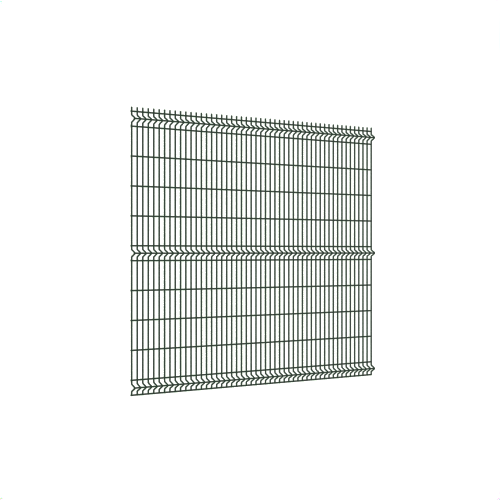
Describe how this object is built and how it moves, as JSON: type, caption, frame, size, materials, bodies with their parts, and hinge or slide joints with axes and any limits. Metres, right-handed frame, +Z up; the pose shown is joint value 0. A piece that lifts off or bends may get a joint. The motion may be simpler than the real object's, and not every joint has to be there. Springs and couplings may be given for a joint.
{
  "type": "welded mesh fence panel",
  "caption": "Welded mesh fence panel of round wires with V-shaped stiffening folds, barbs along the top and a green coat.",
  "frame": {"origin": "middle of the cut foot of the centre upright, at ground level", "axes": "+X along the fence, +Y towards the back, where the cross wires lie, +Z up; the folds bulge towards -Y, the front"},
  "size_m": [2.505, 0.0415, 1.93],
  "materials": {
    "green_coat": "smooth satin powder coat, moss green"
  },
  "bodies": {
    "root": {"bottom_fold_lower_wire": "green_coat", "bottom_fold_crest_wire": "green_coat", "bottom_fold_upper_wire": "green_coat", "middle_fold_lower_wire": "green_coat", "middle_fold_crest_wire": "green_coat", "middle_fold_upper_wire": "green_coat", "top_fold_lower_wire": "green_coat", "top_fold_crest_wire": "green_coat", "top_fold_upper_wire": "green_coat", "lower_field_wire_1": "green_coat", "lower_field_wire_2": "green_coat", "lower_field_wire_3": "green_coat", "upper_field_wire_1": "green_coat", "upper_field_wire_2": "green_coat", "upper_field_wire_3": "green_coat", "left_edge_upright": "green_coat", "right_edge_upright": "green_coat", "uprights_1": "green_coat", "uprights_2": "green_coat", "uprights_3": "green_coat", "uprights_4": "green_coat", "uprights_5": "green_coat", "uprights_6": "green_coat", "uprights_7": "green_coat"}
  },
  "joints": []
}
